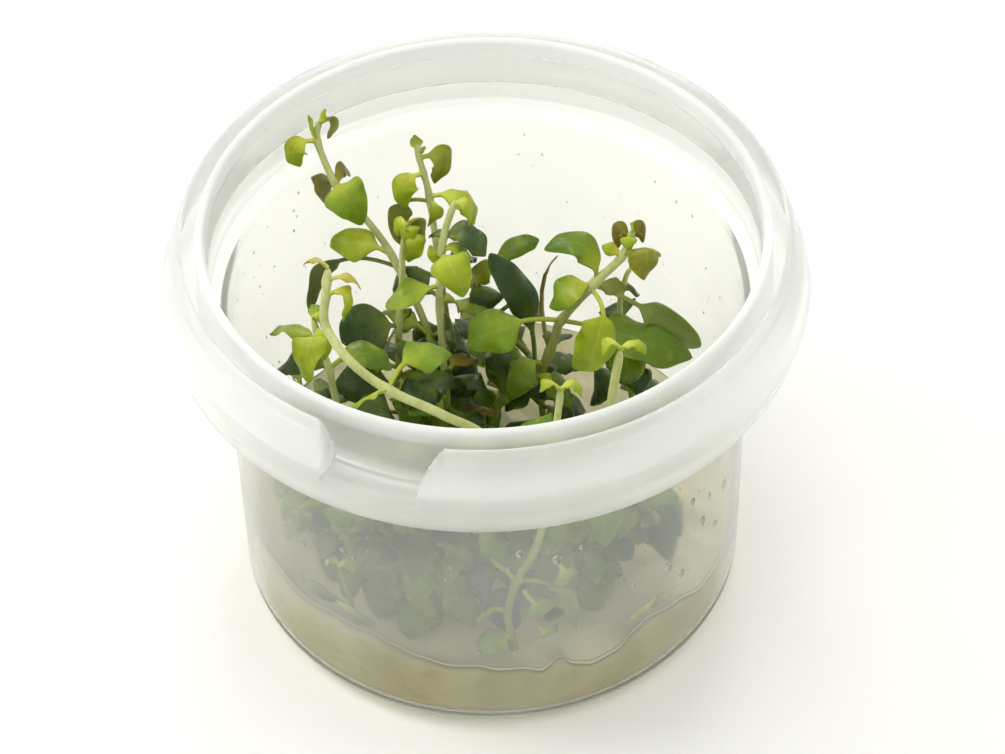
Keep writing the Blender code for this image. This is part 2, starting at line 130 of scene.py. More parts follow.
def addNode(tree, kind, operation=None, **inputs):  # inputs named i0, i1 ... or by their label
    item = tree.nodes.new(kind)
    if operation:
        setattr(item, "blend_type" if kind == "ShaderNodeMixRGB" else "operation", operation)
    for key, value in inputs.items():
        socket = item.inputs[int(key[1:])] if key[1:].isdigit() else item.inputs[key]
        if isinstance(value, bpy.types.NodeSocket):
            tree.links.new(value, socket)
        else:
            socket.default_value = (*value, 1.0) if isinstance(value, tuple) and socket.type == "RGBA" else value
    return item


def mathOf(tree, operation, a, b=0.0):
    return addNode(tree, "ShaderNodeMath", operation, i0=a, i1=b).outputs[0]


def ramp(tree, value, low, high, first=0.0, last=1.0):  # a smooth step between two values
    item = addNode(tree, "ShaderNodeMapRange", i0=value, i1=low, i2=high, i3=first, i4=last)
    item.interpolation_type = "SMOOTHSTEP"
    return item.outputs[0]


def mixed(tree, share, a, b, kind="MIX"):
    return addNode(tree, "ShaderNodeMixRGB", kind, i0=share, i1=a, i2=b).outputs[0]


def noiseOf(tree, place, scale, detail=3.0, roughness=0.5):
    item = addNode(tree, "ShaderNodeTexNoise", Vector=place, Scale=scale, Detail=detail, Roughness=roughness)
    return item.outputs[0]


def bumpOf(tree, height, distance, strength=1.0):
    return addNode(tree, "ShaderNodeBump", Height=height, Distance=distance, Strength=strength).outputs[0]


def objectPlace(tree):
    return addNode(tree, "ShaderNodeTexCoord").outputs["Object"]


# camera: the photograph's angle, from the front and well above

view = {"elevation": 45.4, "distance": 650.0, "roll": -1.44, "target": (2.3, 0.0, 38.9), "lens": 147.7}


def aimed(place, right, up, back):  # a matrix from a place in metres and three directions
    return Matrix.Translation(place) @ Matrix([[right[i], up[i], back[i]] for i in range(3)]).to_4x4()


def makeCamera():
    elevation, roll = math.radians(view["elevation"]), math.radians(view["roll"])
    forward = np.array([0, math.cos(elevation), -math.sin(elevation)])
    level = np.array([1.0, 0, 0])
    upright = np.array([0, math.sin(elevation), math.cos(elevation)])
    right = math.cos(roll) * level + math.sin(roll) * upright
    up = -math.sin(roll) * level + math.cos(roll) * upright
    data = bpy.data.cameras.new("camera")
    data.lens, data.sensor_width = view["lens"], 36.0
    item = bpy.data.objects.new("camera", data)
    bpy.context.scene.collection.objects.link(item)
    item.matrix_world = aimed((np.array(view["target"]) - view["distance"] * forward) * mm, right, up, -forward)
    bpy.context.scene.camera = item


makeCamera()
print("camera ready")


# studio: pale floor, white surroundings, broad soft lamps from the left and from behind

studio = {"floor": (0.93, 0.924, 0.885), "surround": 1.0, "halfSize": 6.0}
lamps = {  # power, width, place and what it looks at, in metres
    "keyLamp": (2.4, 0.35, (-0.6, 0.1, 0.7), (0, 0, 0.04)),
    "backLamp": (1.4, 0.3, (0.15, 0.75, 0.6), (0, 0, 0.04)),
}


def makeStudio():
    size = studio["halfSize"]
    mesh = bpy.data.meshes.new("floor")
    mesh.from_pydata([(-size, -size, 0), (size, -size, 0), (size, size, 0), (-size, size, 0)], [], [(0, 1, 2, 3)])
    material, tree, shader = newMaterial("floorPaper", Roughness=0.8)
    grain = noiseOf(tree, objectPlace(tree), 60.0)
    tone = mixed(tree, grain, studio["floor"], tuple(c + 0.01 for c in studio["floor"]))
    tree.links.new(tone, shader.inputs["Base Color"])
    mesh.materials.append(material)
    floor = bpy.data.objects.new("floor", mesh)
    bpy.context.scene.collection.objects.link(floor)
    world = bpy.data.worlds.new("surround")
    world.use_nodes = True
    world.node_tree.nodes["Background"].inputs[0].default_value = (1.0, 1.0, 0.985, 1)
    world.node_tree.nodes["Background"].inputs[1].default_value = studio["surround"]
    bpy.context.scene.world = world
    for name, (power, width, place, aim) in lamps.items():
        lamp = bpy.data.lights.new(name, "AREA")
        lamp.energy, lamp.size = power, width
        item = bpy.data.objects.new(name, lamp)
        bpy.context.scene.collection.objects.link(item)
        back = unit(np.array(place, float) - np.array(aim))
        right = unit(np.cross([0, 0, 1.0], back))
        item.matrix_world = aimed(np.array(place), right, np.cross(back, right), back)
    bpy.context.scene.view_settings.view_transform = "Standard"


makeStudio()
print("studio ready")


# cup: a thin milky moulding turned round the axis, its collar torn open at the front

cupShape = {
    "top": 72.0, "outer": 50.0, "collarTop": 71.0, "collarStep": 68.8, "flange": 60.6, "skirt": 55.9,
    "ledge": 58.8, "base": 39.95, "bodyTop": 40.9, "corner": 5.0, "lip": 43.3, "wall": 1.0, "sides": 288,
    # the torn gap's two edges: angle from the front, height
    "gapLeft": ((-34.5, 72.5), (-29.5, 68.6), (-28.3, 65.4), (-30.5, 61.9)),
    "gapRight": ((-13.0, 61.9), (-11.5, 66.0), (-8.7, 70.0), (-6.0, 72.5)),
}


def arc(centreRadius, centreHeight, radius, first, last, steps):
    angle = np.radians(np.linspace(first, last, steps + 1))
    return np.stack([centreRadius + radius * np.cos(angle), centreHeight + radius * np.sin(angle)], axis=1)


# a profile of radius and height carried round the axis
def turned(name, profile, sides, material, lift=None, **more):
    angle = np.linspace(0, 2 * math.pi, sides, endpoint=False)
    radius, height = np.asarray(profile, float).T
    x = radius[:, None] * np.cos(angle)[None, :]
    y = radius[:, None] * np.sin(angle)[None, :]
    z = np.broadcast_to(height[:, None], x.shape)
    if lift is not None:
        z = lift(x, y, z)
    points = np.stack([x, y, z], axis=-1)
    return newPiece(name, points.reshape(-1, 3), ringFaces(len(radius), sides), material, **more)


def cupProfile():
    s = cupShape
    wall, lip, outer = s["wall"], s["lip"], s["outer"]
    collarInner = outer - wall - 0.6
    inner = s["base"] - wall
    parts = [
        [(23.2, 0.5), (23.5, 0.46), (23.8, 0.1), (24.1, 0.0)],
        arc(s["base"] - s["corner"], s["corner"], s["corner"], -90, 0, 14),
        [(s["bodyTop"] - 0.02, 56.6)], arc(s["bodyTop"] + 0.5, 57.2, 0.5, 180, 90, 3),
        [(lip - 0.3, 57.75), (lip, 58.0), (lip, 59.3), (lip + 0.2, 59.5)],
        [(outer - 1.7, 59.5), (outer - 1.45, 59.2), (outer - 2.1, s["skirt"] + 0.2)],
        arc(outer - 1.65, s["skirt"] + 0.3, 0.4, 200, 340, 5),
        [(outer - 0.15, s["flange"] - 0.7), (outer, s["flange"])],
        [(outer - 0.06, s["flange"] + 0.5), (47.7, s["collarStep"] - 0.25), (47.55, s["collarStep"])],
        [(47.2, s["collarStep"] + 0.12), (47.05, s["collarStep"] + 0.35)],
        arc(46.5, s["collarTop"] - 0.4, 0.42, 10, 170, 7),
        [(46.15, 70.2), (collarInner - 0.25, 62.1), (collarInner - 0.6, 61.75)],
        [(44.9, 61.8), (44.35, 62.0), (44.15, 62.4)],
        arc(lip, s["top"] - 0.72, 0.72, 5, 175, 12),
        [(lip - 0.85, 70.4), (lip - 1.0, s["ledge"] + 0.5), (lip - 1.1, s["ledge"] + 0.12), (lip - 1.4, s["ledge"])],
        [(s["bodyTop"] - wall + 0.35, s["ledge"] - 0.1), (s["bodyTop"] - wall + 0.08, s["ledge"] - 0.45)],
        [(s["bodyTop"] - wall, 56.0)],
        arc(inner - 4, wall + 4.2, 4, 0, -90, 12),
        [(20.0, wall + 0.2)],
    ]
    return np.concatenate([np.asarray(part, float) for part in parts])


def gapCutter(material):  # the block that leaves the gap: torn edges as smooth curves with a slight tear
    left = smoothPath([(a, h, 0) for a, h in cupShape["gapLeft"]], 8)
    right = smoothPath([(a, h, 0) for a, h in cupShape["gapRight"]], 8)
    outline = np.concatenate([left, right])
    tear = 0.12 * np.sin(outline[:, 1] * 5.1) + 0.08 * np.sin(outline[:, 1] * 11.7 + 1)
    angle, height = np.radians(outline[:, 0] + tear), outline[:, 1]
    rings = [np.stack([r * np.sin(angle), -r * np.cos(angle), height], axis=1) for r in (45.2, 53.0)]
    return newPiece("gapCutter", np.concatenate(rings), ringFaces(2, len(outline)), material)


plastic = {
    # where each zone starts and where it is full, in metres: heights above the base, or distances from the axis
    "collarHeight": (0.0545, 0.0575), "collarRadius": (0.0415, 0.0445), "rimHeight": (0.0686, 0.07),
    "rimRadius": (0.0438, 0.0445), "foot": (0.0012, 0.0052), "mist": (0.011, 0.02),
    # how clear the wall is where a slow noise is low and high, and what each zone takes from that
    "clear": (0.95, 0.91), "mistLess": 0.08, "milkyLess": 0.13, "rimLess": 0.3, "footLess": 0.6,
    "haze": (0.06, 0.09), "milkyHaze": 0.35, "mistHaze": 0.05, "speckHaze": 0.03,
    "tones": ((0.965, 0.97, 0.93), (0.98, 0.98, 0.95)), "footTone": (0.90, 0.88, 0.70),
    "milkyTone": (0.99, 0.995, 0.98),
}


# clear against the gel, misted above it, and a light-scattering milky white in the collar and rim
def milkyPlastic():
    p = plastic
    material, tree, shader = newMaterial("milkyPlastic", **{"IOR": 1.12, "Specular IOR Level": 0.8})
    place = objectPlace(tree)
    x, y, height = addNode(tree, "ShaderNodeSeparateXYZ", i0=place).outputs
    squares = mathOf(tree, "ADD", mathOf(tree, "MULTIPLY", x, x), mathOf(tree, "MULTIPLY", y, y))
    fromAxis = mathOf(tree, "SQRT", squares)
    outside, inside = ramp(tree, fromAxis, *p["collarRadius"]), ramp(tree, fromAxis, *p["rimRadius"], 1.0, 0.0)
    collar = mathOf(tree, "MULTIPLY", ramp(tree, height, *p["collarHeight"]), outside)
    rim = mathOf(tree, "MULTIPLY", ramp(tree, height, *p["rimHeight"]), inside)
    milky = mathOf(tree, "MAXIMUM", collar, rim)
    foot = ramp(tree, height, *p["foot"], 1.0, 0.0)
    mist = ramp(tree, height, *p["mist"])
    cloud = noiseOf(tree, place, 45.0, 4.0)
    speck = noiseOf(tree, place, 900.0, 2.0)
    clear = ramp(tree, cloud, 0.3, 0.7, *p["clear"])
    for zone, less in ((mist, p["mistLess"]), (milky, p["milkyLess"]), (rim, p["rimLess"]), (foot, p["footLess"])):
        clear = mathOf(tree, "SUBTRACT", clear, mathOf(tree, "MULTIPLY", zone, less))
    tree.links.new(clear, shader.inputs["Transmission Weight"])
    haze = ramp(tree, cloud, 0.3, 0.7, *p["haze"])
    for zone, more in ((milky, p["milkyHaze"]), (mist, p["mistHaze"]), (speck, p["speckHaze"])):
        haze = mathOf(tree, "ADD", haze, mathOf(tree, "MULTIPLY", zone, more))
    tree.links.new(haze, shader.inputs["Roughness"])
    body = mixed(tree, foot, mixed(tree, cloud, *p["tones"]), p["footTone"])
    tree.links.new(mixed(tree, milky, body, p["milkyTone"]), shader.inputs["Base Color"])
    ripple = mathOf(tree, "ADD", cloud, mathOf(tree, "MULTIPLY", speck, 0.02))
    tree.links.new(bumpOf(tree, ripple, 0.0004, 0.3), shader.inputs["Normal"])
    return material


def makeCup():
    material = milkyPlastic()
    cup = turned("cultureCup", cupProfile(), cupShape["sides"], material, sharpAngle=50)
    cutter = gapCutter(material)
    cut = cup.modifiers.new("gap", "BOOLEAN")
    cut.object, cut.operation, cut.solver = cutter, "DIFFERENCE", "EXACT"
    finished = bpy.data.meshes.new_from_object(cup.evaluated_get(bpy.context.evaluated_depsgraph_get()))
    cup.modifiers.clear()
    cup.data = finished
    bpy.data.objects.remove(cutter)
    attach(cup, "root")
    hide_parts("cup")


makeCup()
print("cup ready")


# gel: a clouded jelly whose top is wavy and climbs the wall unevenly

gelShape = {
    "depth": 13.0, "radius": 38.85, "floor": 1.3, "sides": 360, "climb": 5.0,
    # the height where it meets the wall: angle from the front, millimetres
    "wallHeights": ((-180, 13.4), (-140, 14.0), (-100, 15.4), (-75, 17.2), (-60, 18.4), (-51, 17.4), (-45, 17.6),
                    (-40, 18.3), (-35, 18.0), (-29, 18.4), (-24, 17.0), (-18, 15.7), (-10, 14.6), (-4, 15.0),
                    (1, 14.0), (6, 14.0), (11, 12.9), (12.7, 13.9), (14.2, 15.2), (15.8, 15.3), (17.3, 13.6),
                    (18.5, 12.7), (23, 11.5), (29, 12.3), (34, 15.0), (38, 16.2), (47, 15.0), (58, 12.2),
                    (90, 12.6), (135, 12.8), (180, 13.4)),
}


def gelHeight(x, y):  # soft waves, and a rise to the wall's own height within a few millimetres of it
    radius = np.hypot(x, y)
    angle = np.degrees(np.arctan2(x, -y))
    stops, heights = np.array(gelShape["wallHeights"], float).T
    share = np.clip((angle[..., None] - stops[:-1]) / np.diff(stops), 0, 1)
    atWall = heights[0] + (share ** 2 * (3 - 2 * share) * np.diff(heights)).sum(axis=-1)
    wave = 0.5 * np.sin(x / 7.0 + 0.6) * np.cos(y / 6.0) + 0.3 * np.sin((x + y) / 4.0)
    wave += 0.14 * np.sin(x * 1.1 + 2) * np.sin(y * 0.9 + 1) + 0.07 * np.sin(x * 2.3) * np.cos(y * 2.1 + x)
    near = np.clip((radius - (gelShape["radius"] - gelShape["climb"])) / gelShape["climb"], 0, 1) ** 2.2
    return (gelShape["depth"] + wave) * (1 - near) + atWall * near


def gelLift(x, y, z):
    return np.where(z > gelShape["depth"] - 2.6, z - gelShape["depth"] + gelHeight(x, y), z)


def cloudedGel():  # beige and cloudy, with a painted shade band and a painted highlight line just below the waterline, and the top painted lighter and yellower as lit from above
    values = {"IOR": 1.2, "Transmission Weight": 0.25, "Specular IOR Level": 1.0}
    material, tree, shader = newMaterial("cloudedGel", **values)
    place = objectPlace(tree)
    cloud = noiseOf(tree, place, 110.0, 5.0, 0.6)
    stretched = addNode(tree, "ShaderNodeMapping", i0=place, i3=(1.0, 1.0, 3.0)).outputs[0]
    strand = noiseOf(tree, stretched, 260.0, 6.0, 0.65)
    below = addNode(tree, "ShaderNodeSeparateXYZ", i0=addNode(tree, "ShaderNodeTexCoord").outputs["UV"]).outputs[1]
    tone = mixed(tree, ramp(tree, cloud, 0.35, 0.65), (0.46, 0.41, 0.17), (0.57, 0.52, 0.26))
    for share, colour in (
            (ramp(tree, strand, 0.52, 0.7, 0.0, 0.4), (0.30, 0.26, 0.10)),
            # painted shade: a dark band from the waterline down about 1.4 mm
            (ramp(tree, below, 0.3, 1.4, 1.0, 0.0), (0.20, 0.165, 0.06)),
            # painted highlight: a pale line right at the waterline
            (ramp(tree, below, 0.2, 0.45, 0.85, 0.0), (0.92, 0.88, 0.66)),
            # painted light: the top surface much lighter and yellower than the sides
            (ramp(tree, below, 20.0, 29.0), (0.90, 0.84, 0.52))):
        tone = mixed(tree, share, tone, colour)
    tree.links.new(tone, shader.inputs["Base Color"])
    tree.links.new(ramp(tree, cloud, 0.3, 0.7, 0.12, 0.26), shader.inputs["Roughness"])
    tree.links.new(bumpOf(tree, cloud, 0.0006, 0.5), shader.inputs["Normal"])
    return material


def makeGel():
    s = gelShape
    side = [(s["radius"] - 0.02, h) for h in (6.0, 7.5, 9.0)]
    rise = [(s["radius"] - inset, s["depth"] - drop) for inset, drop in ((0.02, 0.5), (0.05, 0.08), (0.14, 0.0))]
    top = [(r, s["depth"]) for r in np.linspace(s["radius"] - 0.4, 0.6, 96)]
    bottom = [(1.0, s["floor"]), (20.0, s["floor"])]
    corner = arc(s["radius"] - 4, s["floor"] + 4, 4, -90, 0, 8)
    profile = np.concatenate([bottom, corner, side, rise, top])
    # UV: y is how far below the waterline a point of the side lies, and 30 on the top
    onTop = np.arange(len(profile)) >= len(profile) - len(top)
    below = np.where(onTop, 30.0, s["depth"] - profile[:, 1])
    uv = np.stack(np.broadcast_arrays(np.linspace(0, 1, s["sides"])[None, :], below[:, None]), axis=-1).reshape(-1, 2)
    gel = turned("gelBed", profile, s["sides"], cloudedGel(), gelLift, uv=uv)
    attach(gel, "root")
    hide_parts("gel")


makeGel()
print("gel ready")


# leaf and stem finishes

leafFinish = {  # colours of the blade, of its foot by the stalk, of its margin and of its midrib
    "young": ((0.34, 0.41, 0.010), (0.60, 0.62, 0.08), (0.15, 0.24, 0.010), (0.50, 0.56, 0.10)),
    "fresh": ((0.20, 0.31, 0.010), (0.48, 0.52, 0.05), (0.09, 0.17, 0.010), (0.36, 0.44, 0.08)),
    "green": ((0.13, 0.215, 0.010), (0.42, 0.48, 0.05), (0.06, 0.12, 0.010), (0.28, 0.36, 0.05)),
    "dark": ((0.035, 0.070, 0.012), (0.18, 0.24, 0.03), (0.018, 0.040, 0.010), (0.09, 0.13, 0.03)),
    "olive": ((0.22, 0.235, 0.012), (0.42, 0.44, 0.05), (0.15, 0.11, 0.012), (0.36, 0.38, 0.06)),
    "brown": ((0.17, 0.125, 0.014), (0.36, 0.34, 0.04), (0.12, 0.06, 0.012), (0.30, 0.24, 0.05)),
    "red": ((0.42, 0.38, 0.045), (0.58, 0.57, 0.14), (0.36, 0.22, 0.04), (0.56, 0.52, 0.14)),
}
leafUnderside, leafMottle = (0.30, 0.31, 0.13), (0.42, 0.42, 0.42)


def leafMaterial(name, finish):
    # UV: x runs from stem to tip; y runs across the upper face from 0 to 1 and back under the leaf from 1 to 2
    bladeTone, footTone, edgeTone, ribTone = finish
    material, tree, shader = newMaterial(name, **{"Subsurface Weight": 0.3, "Subsurface Scale": 0.0007, "IOR": 1.42,
                                                  "Subsurface Radius": (0.8, 1.0, 0.2), "Specular IOR Level": 0.35})
    coordinates = addNode(tree, "ShaderNodeTexCoord")
    place = coordinates.outputs["Object"]
    parts = addNode(tree, "ShaderNodeSeparateXYZ", i0=coordinates.outputs["UV"]).outputs
    along, across = parts[0], parts[1]
    fromRib = mathOf(tree, "ABSOLUTE", mathOf(tree, "SUBTRACT", mathOf(tree, "PINGPONG", across, 1.0), 0.5))
    fromRib = mathOf(tree, "MULTIPLY", fromRib, 2.0)
    mottle = noiseOf(tree, place, 420.0, 4.0)
    patch = noiseOf(tree, place, 170.0, 3.0)
    phase = mathOf(tree, "SUBTRACT", mathOf(tree, "MULTIPLY", along, 6.0), mathOf(tree, "MULTIPLY", fromRib, 1.3))
    phase = mathOf(tree, "ADD", phase, mathOf(tree, "MULTIPLY", patch, 0.6))
    vein = ramp(tree, mathOf(tree, "PINGPONG", phase, 0.5), 0.0, 0.11, 1.0, 0.0)
    vein = mathOf(tree, "MULTIPLY", vein, ramp(tree, fromRib, 0.3, 0.85, 0.15, 0.0))
    rib = ramp(tree, fromRib, 0.02, 0.1, 1.0, 0.0)
    tone = mixed(tree, ramp(tree, along, 0.1, 0.6), footTone, bladeTone)
    nearMargin, nearTip = ramp(tree, fromRib, 0.5, 1.05, 0.0, 0.75), ramp(tree, along, 0.62, 1.0, 0.0, 0.85)
    border = mathOf(tree, "MAXIMUM", nearMargin, nearTip)
    tone = mixed(tree, mathOf(tree, "MULTIPLY", border, ramp(tree, patch, 0.3, 0.6, 0.4, 1.0)), tone, edgeTone)
    tone = mixed(tree, ramp(tree, patch, 0.5, 0.72, 0.0, 0.4), tone, footTone)
    tone = mixed(tree, vein, tone, ribTone)
    tone = mixed(tree, mathOf(tree, "MULTIPLY", rib, ramp(tree, along, 0.2, 0.9, 0.6, 0.15)), tone, ribTone)
    tone = mixed(tree, ramp(tree, mottle, 0.3, 0.75, 0.0, 0.5), tone, leafMottle, "OVERLAY")
    isUnder = mathOf(tree, "GREATER_THAN", across, 1.0)
    tone = mixed(tree, mathOf(tree, "MULTIPLY", isUnder, 0.38), tone, leafUnderside)
    tree.links.new(tone, shader.inputs["Base Color"])
    tree.links.new(ramp(tree, mottle, 0.25, 0.75, 0.22, 0.42), shader.inputs["Roughness"])
    height = mathOf(tree, "SUBTRACT", mathOf(tree, "MULTIPLY", patch, 0.9), mathOf(tree, "MULTIPLY", vein, 0.9))
    tree.links.new(bumpOf(tree, height, 0.00012, 0.8), shader.inputs["Normal"])
    return material


leafMaterials = {name: leafMaterial(name + "Leaf", finish) for name, finish in leafFinish.items()}
leafSlots = {"young": "young_leaf", "fresh": "green_leaf", "green": "green_leaf", "dark": "dark_leaf",
             "olive": "olive_leaf", "brown": "brown_leaf", "red": "olive_leaf"}
youngNodes = ("right_shoot_long_leaf", "leaning_shoot_right_leaf")  # young leaves that are already fresh green


def stemMaterial(name, low, high):  # darker at the foot, pale towards the tip
    material, tree, shader = newMaterial(name, **{"Subsurface Weight": 0.4, "Subsurface Scale": 0.0008, "IOR": 1.42,
                                                  "Subsurface Radius": (1.0, 1.0, 0.4), "Specular IOR Level": 0.4})
    place = objectPlace(tree)
    height = addNode(tree, "ShaderNodeSeparateXYZ", i0=place).outputs[2]
    fibre = noiseOf(tree, addNode(tree, "ShaderNodeMapping", i0=place, i3=(3.0, 3.0, 0.3)).outputs[0], 500.0)
    patch = noiseOf(tree, place, 140.0)
    tone = mixed(tree, ramp(tree, height, 0.026, 0.054), low, high)
    tone = mixed(tree, ramp(tree, patch, 0.42, 0.65, 0.0, 0.35), tone, low)
    tone = mixed(tree, ramp(tree, fibre, 0.35, 0.7, 0.0, 0.25), tone, low)
    tree.links.new(tone, shader.inputs["Base Color"])
    tree.links.new(ramp(tree, fibre, 0.3, 0.7, 0.26, 0.42), shader.inputs["Roughness"])
    tree.links.new(bumpOf(tree, fibre, 0.00008, 0.6), shader.inputs["Normal"])
    return material


stemFinish = stemMaterial("stem", (0.20, 0.25, 0.03), (0.60, 0.62, 0.27))
print("finishes ready")


# one leaf

blade = {"stalkHalf": 0.36, "stalkThick": 0.66, "thick": 0.4, "groove": 0.12, "ridge": 0.16, "quilt": 0.07,
         "margin": 0.10, "curl": 0.13}


def leafRings(start, middle, tip, width, cup, roll, stalk, seed=0.0, rows=40, half=11):
    # The midrib is a quadratic curve through start, middle and tip. Each ring across it is the upper face from one
    # margin to the other and the lower face back. Both are bent by the cupping, a curl that grows towards the tip,
    # the wavy margin, the groove of the midrib and the swelling between the side veins.
    middle, tip = np.array(middle, float), np.array(tip, float)
    elbow = 2 * middle - tip / 2
    level = unit(np.cross(elbow, tip - elbow))
    if np.linalg.norm(level) < 0.5:
        level = unit(np.cross([0, 0, 1.0], tip))
    foot = max(rows // 6, 2)
    s = np.linspace(0, 1, rows - foot)
    onStalk, pastStalk = np.linspace(0, stalk, foot + 1)[:-1], stalk + (1 - stalk) * (1.35 * s - 0.35 * s ** 2.4)
    t = np.concatenate([onStalk, pastStalk])[:, None]
    centre = np.asarray(start) + 2 * t * (1 - t) * elbow + t * t * tip
    along = unit(2 * (1 - 2 * t) * elbow + 2 * t * tip)
    turn = math.radians(roll) + 0.12 * np.sin(3 * seed + 3 * t)
    side = level * np.cos(turn) + np.cross(along, level) * np.sin(turn)
    side = unit(side - along * (side * along).sum(axis=1, keepdims=True))
    upper = np.cross(along, side)
    share = np.clip((t - stalk) / (1 - stalk), 0, 1)
    spread = np.sin(math.pi * share ** 0.86) ** (0.62 + 0.75 * (1 - share) ** 2)
    halfWidth = blade["stalkHalf"] * (1 - share ** 0.7) + 0.04 + (width / 2 - 0.04) * spread
    q = np.cos(np.linspace(0, math.pi, half))
    q = np.concatenate([q, q[::-1][1:-1]])[None, :]
    over = np.concatenate([[0.0], np.ones(half - 2), [0.0], -np.ones(half - 2)])[None, :]
    onBlade = np.clip(share * 6, 0, 1) * np.clip((1 - share) * 6, 0, 1)
    thick = blade["stalkThick"] * (1 - share) ** 8 + blade["thick"] * (1 - 0.6 * share) * (1 - (1 - share) ** 8)
    body = over * np.sqrt(np.maximum(1 - q ** 2, 0)) * thick / 2
    ripple = np.sin(7.5 * share + 3 * seed + 1.4 * np.sign(q))
    ripple = ripple + 0.5 * np.sin(15 * share + 5 * seed + 2.6 * np.sign(q))
    bend = -(cup + blade["curl"] * (0.5 + share)) * halfWidth * np.abs(q) ** 1.6
    bend = bend + blade["margin"] * width * onBlade * q ** 2 * ripple
    bend = bend - blade["curl"] * width * share ** 3
    rib = np.exp(-(q / 0.16) ** 2) * onBlade
    bend = bend - rib * np.where(over > 0, blade["groove"], blade["ridge"])
    veins = np.cos(2 * math.pi * (5 * share - 1.2 * np.abs(q) + 0.2 * seed)) * np.abs(q) * (1 - q ** 2)
    bend = bend + blade["quilt"] * veins * onBlade * width / 4
    sway = 0.06 * width * np.sin(4.5 * share + 2 * seed) * onBlade
    points = centre[:, None] + side[:, None] * (q * halfWidth + sway)[..., None]
    points = points + upper[:, None] * (bend + body)[..., None]
    top = (q + 1) / 2
    uv = np.stack(np.broadcast_arrays(t, np.where(over < 0, 2 - top, top)), axis=-1)
    return insideWall(points), uv


# the room inside the cup: its radius, how much wider it gets over which heights, and where leaves start to bend
room = {"radius": 38.3, "wider": 3.2, "from": 56.5, "over": 3.5, "soft": 1.8}


def insideWall(points):  # leaves that would meet the cup's wall bend along it
    reach = room["radius"] + room["wider"] * np.clip((points[..., 2] - room["from"]) / room["over"], 0, 1)
    soft = reach - room["soft"]
    radius = np.hypot(points[..., 0], points[..., 1])
    kept = np.where(radius > soft, soft + (reach - soft) * (1 - np.exp(-(radius - soft) / (reach - soft))), radius)
    scale = (kept / np.maximum(radius, 1e-6))[..., None] * np.array([1, 1, 0]) + np.array([0, 0, 1])
    return points * scale


# the twelve shoots: thickness, and the points that each stem passes through, in millimetres

shoots = {
    "left_shoot": (1.2, [(-6, 4, 7), (-6.5, 5, 14), (-8.7, 10, 36), (-14.4, 18, 47.6), (-18.7, 21, 54),
                         (-23.2, 24, 58.6), (-26, 28, 64.6), (-25.6, 30, 67)]),
    "back_shoot": (1.1, [(-4, 13, 7), (-4.5, 13.5, 14), (-7, 19, 40), (-8.5, 24, 54.7), (-9.4, 26, 58.9),
                         (-10, 27, 61.3), (-10.3, 28, 64)]),
    "middle_shoot": (1.2, [(-6, -2, 7), (-6.2, -1, 14), (-6.8, 5, 29.5), (-7.3, 8, 46), (-7.2, 9, 51.2),
                           (-6.4, 12, 57.9), (-4.4, 14, 64.1)]),
    "yellow_shoot": (1.1, [(-14, 7, 7), (-14, 8, 14), (-14.2, 9, 36.9), (-13.3, 13, 46.6), (-12.9, 14, 53.6),
                           (-12, 15, 58.1)]),
    "short_shoot": (1.1, [(9, 11, 7), (9, 11.5, 14), (7.4, 14, 27.6), (2.6, 18, 31.5), (-1.7, 22, 37),
                          (-3.9, 24, 39.1)]),
    "right_shoot": (1.5, [(-3, 6, 7), (-2.5, 6.5, 14), (1.6, 8, 24.6), (7.3, 8, 29.4), (10.7, 9, 38),
                          (11.8, 9, 42.2), (16.9, 9, 50), (21.5, 9, 56), (23.2, 9, 61.5)]),
    "thin_shoot": (0.9, [(24, 12, 7), (24, 12, 14), (21.3, 11, 40.4), (22, 12, 47.6), (22.9, 11, 51.6)]),
    "leaning_shoot": (1.5, [(0, -16, 7), (0, -16.5, 14), (1, -20, 31), (0, -21, 46), (-7, -21, 52.4),
                            (-15, -19, 56), (-20.8, -15, 58.4), (-24.4, -10, 61.2), (-24.2, -8, 65.5),
                            (-23.7, -6, 69.4)]),
    "pale_shoot": (1.5, [(13, -25, 7), (13.3, -25, 14), (17.3, -24, 40), (18.8, -21, 55.5), (20.2, -18, 62.4)]),
    "front_shoot": (1.2, [(3.2, -33.5, 7), (2.9, -34, 14.5), (2.2, -34, 21.4), (3.6, -34, 28.7), (7.5, -33, 38.4),
                          (9.9, -30, 56.3), (11, -26.5, 63.5)]),
    "low_shoot": (1.1, [(-20, -8, 7), (-20.3, -8, 14), (-22.5, -8, 30.4), (-24.5, -7, 48.6), (-25.6, -6, 52.4),
                        (-26.6, -4, 57)]),
    "seedling": (0.8, [(-21, -28.5, 7), (-21.3, -29, 14), (-22.5, -28.5, 21), (-23.6, -28, 27)]),
}

